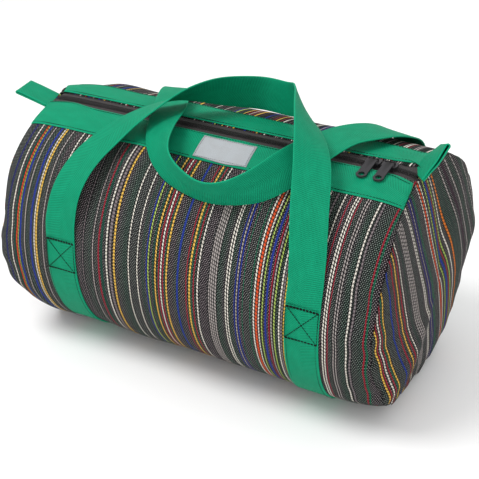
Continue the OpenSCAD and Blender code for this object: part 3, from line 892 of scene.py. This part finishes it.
def stitches(name, runs, material, nodes, thick=0.42 * MM, length=3.2 * MM, pitch=3.4 * MM):
    """Separate stitches along runs of points; each run is (points, outward directions)."""
    points, faces, uvs = [], [], []
    around = np.linspace(0, 2 * math.pi, 6, endpoint=False)
    stations = [(-0.5, 0.25, -0.7), (-0.38, 0.85, 0.0), (0.0, 1.0, 0.25), (0.38, 0.85, 0.0),
                (0.5, 0.25, -0.7)]
    for line, out in runs:
        line, out = np.asarray(line, float), np.asarray(out, float)
        lengths = np.concatenate([[0], np.cumsum(np.linalg.norm(np.diff(line, axis=0), axis=1))])
        count = max(1, int(round(lengths[-1] / pitch)))
        for k in range(count):
            middle = (k + 0.5) / count * lengths[-1]
            ends = [np.array([np.interp(middle + s * length, lengths, line[:, c]) for c in range(3)])
                    for s in (-0.5, 0, 0.5)]
            normal = np.array([np.interp(middle, lengths, out[:, c]) for c in range(3)])
            along = ends[2] - ends[0]
            along /= np.linalg.norm(along) + 1e-12
            aside = np.cross(along, normal)
            aside /= np.linalg.norm(aside) + 1e-12
            first = len(points)
            for share, grow, rise in stations:
                base = ends[1] + along * share * length + normal * rise * thick * 0.6
                for a in around:
                    points.append(base + (aside * math.cos(a) + normal * math.sin(a)) * thick / 2 * grow)
                    uvs.append((share * length, a / (2 * math.pi) * MM))
            faces += grid_faces(len(stations), 6, first, closed_columns=True)
            faces.append([first + j for j in range(5, -1, -1)])
            faces.append([first + 24 + j for j in range(6)])
    piece = make_object(name, points, faces, uvs)
    face_out(piece)
    return finish_piece(piece, material, nodes=nodes)


def run_on_bag(xs, angles, h):
    xs, angles = np.broadcast_arrays(np.asarray(xs, float), np.asarray(angles, float))
    return surface(xs, angles, h), outward(xs, angles)


def make_box_stitches(name, side, low_at, high_at, material, node):
    """Four sides and two diagonals; the end at high_at is sewn over three times, the end at low_at twice."""
    inset = 1.4 * MM
    x0, x1 = side * STRAP_X - WEB_W / 2 + inset, side * STRAP_X + WEB_W / 2 - inset
    step = span_at(low_at, 0.9 * MM)
    a0, a1 = low_at + step, high_at - step
    h = WEB_H + WEB_T / 2 + 0.15 * MM
    t = np.linspace(0, 1, 24)
    runs = [run_on_bag(x0, a0 + (a1 - a0) * t, h), run_on_bag(x1, a0 + (a1 - a0) * t, h),
            run_on_bag(x0 + (x1 - x0) * t, a0 + (a1 - a0) * t, h),
            run_on_bag(x0 + (x1 - x0) * t, a1 + (a0 - a1) * t, h)]
    for angle in (a0, a0 + step * 0.8, a1, a1 - step * 0.8, a1 - step * 1.6):
        runs.append(run_on_bag(x0 + (x1 - x0) * t, angle, h))
    return stitches(name, runs, material, [node], thick=0.85 * MM)


def make_thread(material):
    box_span = span_at(0, BOX_L)
    back_span = span_at(160, BOX_L)
    for side, word in ((-1, "left"), (1, "right")):
        make_box_stitches("front_" + word + "_box_thread", side, FRONT_END_AT - box_span, FRONT_END_AT,
                          material, "front_" + word + "_box_stitching")
        make_box_stitches("back_" + word + "_box_thread", side, BACK_END_AT, BACK_END_AT + back_span,
                          material, "back_" + word + "_box_stitching")
        h = WEB_H + WEB_T / 2 + 0.05 * MM
        runs = []
        for edge in (-1, 1):
            x = side * STRAP_X + edge * (WEB_W / 2 - 3 * MM)
            runs.append(run_on_bag(x, np.linspace(FRONT_END_AT - box_span, -66, 90), h))
            runs.append(run_on_bag(x, np.linspace(BACK_END_AT + back_span - 360, -114, 90), h))
        stitches(word + "_strap_thread", runs, material, [word + "_strap_stitching"])
    xs = np.linspace(LEFT_SEAM_X + 2 * MM, RIGHT_SEAM_X - 2 * MM, 260)
    inset = span_at(ZIP_AT, 2.8 * MM)
    slot = np.degrees((facing_edge(xs) - zip_bend(xs)) / radius_at(ZIP_AT))
    back_slot = np.degrees(back_edge(xs) / radius_at(ZIP_AT))
    h = FACING_TOP + 0.1 * MM
    hem = FRONT_HEM_AT + inset * 0.9
    before, after = xs[xs < LABEL_X0 - 1.5 * MM], xs[xs > LABEL_X1 + 4 * MM]
    runs = [run_on_bag(at_seams(x, hem), hem, h) for x in (before, after)]
    runs.append(run_on_bag(at_seams(xs, ZIP_AT), ZIP_AT - slot - inset, h))
    stitches("front_facing_thread", runs, material, ["front_facing_stitching"], thick=0.6 * MM)
    runs = [run_on_bag(at_seams(xs, BACK_HEM_AT), BACK_HEM_AT - inset, h),
            run_on_bag(at_seams(xs, ZIP_AT), ZIP_AT + back_slot + inset, h)]
    stitches("back_facing_thread", runs, material, ["back_facing_stitching"], thick=0.6 * MM)


# ---------------------------------------------------------------- label
LABEL_AT = (FRONT_HEM_AT + 0.9, FRONT_HEM_AT + 15.6)


def label_material():
    m = Nodes("woven_label", Roughness=0.7)
    m.shader.inputs["Specular IOR Level"].default_value = 0.1
    along, across = m.flat()
    weave = m.math("MULTIPLY", m.wave(along, 0.7), m.wave(across, 0.7))
    stain = m.noise(m.point(m.math("MULTIPLY", along, 0.08), m.math("MULTIPLY", across, 0.1)), 1.0, 3.0)
    colour = m.mix(weave, linear((156, 160, 164)), linear((180, 184, 188)))
    m.colour(m.mix(m.span(stain, 0.4, 0.8, 0.0, 0.3), colour, linear((150, 148, 146))))
    m.bump(weave, 0.12 * MM, 0.5)
    return m.material


def label_x(x, angle):
    """The label is sewn on a little askew: its top edge lies further to the left."""
    t = (angle - LABEL_AT[0]) / (LABEL_AT[1] - LABEL_AT[0])
    return x + 1.8 * MM - 5.5 * MM * t


def make_label(material, thread):
    xs = np.linspace(LABEL_X0, LABEL_X1, 40)
    angles = np.linspace(*LABEL_AT, 20)

    def place(x, angle, h):
        t = (angle - LABEL_AT[0]) / (LABEL_AT[1] - LABEL_AT[0])
        wave = 0.5 * MM * (0.5 + 0.5 * np.sin(x / MM / 4.3)) * (1 - smooth(t / 0.12))
        pucker = 0.25 * MM * (0.5 + 0.5 * np.sin(x / MM / 3.1 + 1)) * smooth((t - 0.88) / 0.12)
        lift = (wave + pucker) * (h > 1.9 * MM)
        return surface(label_x(x, angle), angle - 0.35 * np.sin(x / MM / 9) * (t < 0.1), h + lift)

    middle = sum(LABEL_AT) / 2
    piece = slab("label_cloth_piece", place, xs, angles, FACING_TOP + 0.1 * MM, FACING_TOP + 0.65 * MM,
                 edge=0.15 * MM, uv=lambda u, v: (u, np.radians(v) * radius_at(middle)))
    finish_piece(piece, material, nodes=["label"])
    h = FACING_TOP + 0.95 * MM
    inset = 1.8 * MM
    turn = span_at(middle, inset)
    x0, x1 = LABEL_X0 + inset, LABEL_X1 - inset
    a0, a1 = LABEL_AT[0] + turn, LABEL_AT[1] - turn
    t = np.linspace(0, 1, 40)
    wide, tall = x0 + (x1 - x0) * t, a0 + (a1 - a0) * t
    runs = [run_on_bag(label_x(x, a), a, h) for x, a in ((wide, a0), (wide, a1), (x0, tall), (x1, tall))]
    stitches("label_thread", runs, thread, ["label_stitching"],
             thick=0.3 * MM, length=2.0 * MM, pitch=2.6 * MM)
    return piece


# ---------------------------------------------------------------- hidden seams, floor, light, camera
def make_bindings():
    """Ribbed tape over the raw edges of each end seam, inside the bag."""
    m = Nodes("grosgrain", Roughness=0.8)
    along, across = m.flat()
    ribs = m.wave(along, 1.1)
    m.colour(m.mix(ribs, linear((16, 16, 17)), linear((46, 45, 48))))
    m.bump(ribs, 0.2 * MM, 0.6)
    past_tape = span_at(ZIP_AT, 22 * MM)
    angles = np.linspace(ZIP_AT + past_tape - 360, ZIP_AT - past_tape, 260)
    for word, seam, inward in (("left", LEFT_SEAM_X, 1), ("right", RIGHT_SEAM_X, -1)):
        xs = np.sort(seam + inward * np.linspace(1.8, 13, 8) * MM)
        piece = slab(word + "_seam_tape", place_cloth, xs, angles, -CLOTH_T - 1.2 * MM, -CLOTH_T - 0.3 * MM,
                     edge=0.2 * MM, uv=lambda u, v: (arc_at(v), u))
        finish_piece(piece, m.material, nodes=[word + "_seam_binding"])


def make_floor():
    size = 3.0
    piece = make_object("floor", [(-size, -size, 0), (size, -size, 0), (size, size, 0), (-size, size, 0)],
                        [(0, 1, 2, 3)], smooth_faces=False)
    m = Nodes("pale_floor", Roughness=0.9)
    m.shader.inputs["Base Color"].default_value = (0.93, 0.93, 0.93, 1.0)
    m.shader.inputs["Specular IOR Level"].default_value = 0.1
    piece.data.materials.append(m.material)


def area_light(name, place, target, size, power):
    data = bpy.data.lights.new(name, "AREA")
    data.shape = "DISK"
    data.size = size
    data.energy = power
    lamp = bpy.data.objects.new(name, data)
    lamp.location = place
    lamp.rotation_euler = (Vector(target) - Vector(place)).to_track_quat("-Z", "Y").to_euler()
    bpy.context.scene.collection.objects.link(lamp)


def make_light():
    world = bpy.data.worlds.new("studio")
    world.use_nodes = True
    back = world.node_tree.nodes["Background"]
    back.inputs["Color"].default_value = (1.0, 1.0, 1.0, 1.0)
    back.inputs["Strength"].default_value = 0.8
    bpy.context.scene.world = world
    middle = (0, 0, 0.12)
    area_light("key", (-0.7, -0.8, 1.8), middle, 1.0, 24)
    area_light("fill", (1.3, -1.2, 1.0), middle, 1.2, 6)
    area_light("rim", (0.2, 1.5, 1.4), middle, 1.0, 6)
    bpy.context.scene.view_settings.view_transform = "Standard"


CAMERA_TURN, CAMERA_RISE = 29.5, 27.8       # degrees: to the right of the front, and up
CAMERA_DISTANCE = 1.276
CAMERA_TARGET = (STRAP_MID_X - 6.5 * MM, 0, 116.3 * MM)
FOCAL_SHARE = 1118 / 479                    # focal length over the frame's width


def make_camera():
    turn, rise = math.radians(CAMERA_TURN), math.radians(CAMERA_RISE)
    back = Vector((math.sin(turn) * math.cos(rise), -math.cos(turn) * math.cos(rise), math.sin(rise)))
    data = bpy.data.cameras.new("camera")
    data.sensor_width = 36
    data.lens = FOCAL_SHARE * data.sensor_width
    camera = bpy.data.objects.new("camera", data)
    camera.location = Vector(CAMERA_TARGET) + back * CAMERA_DISTANCE
    camera.rotation_euler = (-back).to_track_quat("-Z", "Y").to_euler()
    bpy.context.scene.collection.objects.link(camera)
    bpy.context.scene.camera = camera


# ---------------------------------------------------------------- build
make_camera()
make_light()
make_floor()
body_cloth = striped_cloth("striped_cloth_body", BODY_STRIPES)
end_cloth = striped_cloth("striped_cloth_ends", END_STRIPES)
web = web_material("green_webbing", WEB_W / 2 / MM)
facing_web = web_material("green_facing", 22.0)
thread = thread_material()
make_strap("left_strap_web", -1, web, "left_strap")
make_strap("right_strap_web", 1, web, "right_strap")
make_body(body_cloth)
make_end("left_end_cloth", -1, end_cloth, "left_end_panel")
make_end("right_end_cloth", 1, end_cloth, "right_end_panel")
make_facings(facing_web)
make_zip(tape_material(), coil_material())
dress_hardware(metal_material())
make_handle("front_handle_web", FRONT_ROUTE, 1, FRONT_END_AT, web, "front_handle")
make_handle("back_handle_web", BACK_ROUTE, -1, BACK_END_AT, web, "back_handle")
make_loop("left_end_loop_web", "left_loop_bend", *LEFT_LOOP, 1.3, web, "left_end_loop", "left_loop")
make_loop("right_end_loop_web", "right_loop_bend", *RIGHT_LOOP, 2.0, web, "right_end_loop", "right_loop")
make_label(label_material(), thread)
make_thread(thread)
make_bindings()
